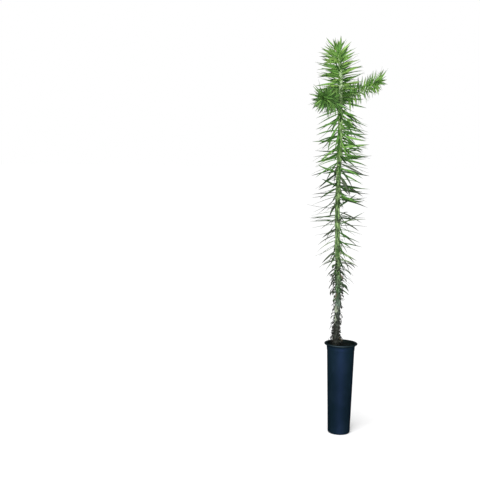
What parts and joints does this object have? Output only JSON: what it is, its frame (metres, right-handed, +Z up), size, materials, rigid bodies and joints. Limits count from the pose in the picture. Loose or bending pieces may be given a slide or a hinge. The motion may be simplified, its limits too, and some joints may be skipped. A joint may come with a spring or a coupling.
{
  "type": "potted araucaria seedling",
  "caption": "Young araucaria conifer with an upright stem, stiff flat needles and a whorl of side shoots near the top, growing in a tall tapered dark plastic tube pot.",
  "frame": {"origin": "on the pot's axis, in the plane of its flat underside", "axes": "+Z up along the pot's axis, +X towards the long side shoot on the viewer's right, +Y to the back of the plant"},
  "size_m": [0.1446, 0.1511, 0.764],
  "materials": {
    "pot_plastic": "satin moulded polyethylene, navy black",
    "potting_mix": "matte, crumbly bark compost",
    "green_bark": "matte green bark with leaf scars",
    "dry_needles": "matte, withered",
    "old_needles": "satin",
    "young_needles": "satin, fresh green"
  },
  "bodies": {
    "root": {"pot": "pot_plastic", "potting_soil": "potting_mix", "stem": "green_bark", "bough_right": "green_bark", "bough_front": "green_bark", "bough_rear": "green_bark", "needles_foot": "dry_needles", "needles_withered": "dry_needles", "needles_lower": "old_needles", "needles_middle": "old_needles", "needles_upper": "old_needles", "needles_leader": "young_needles", "needles_tip": "young_needles", "shoot_right": "young_needles", "shoot_front": "young_needles", "shoot_rear": "young_needles"}
  },
  "joints": []
}
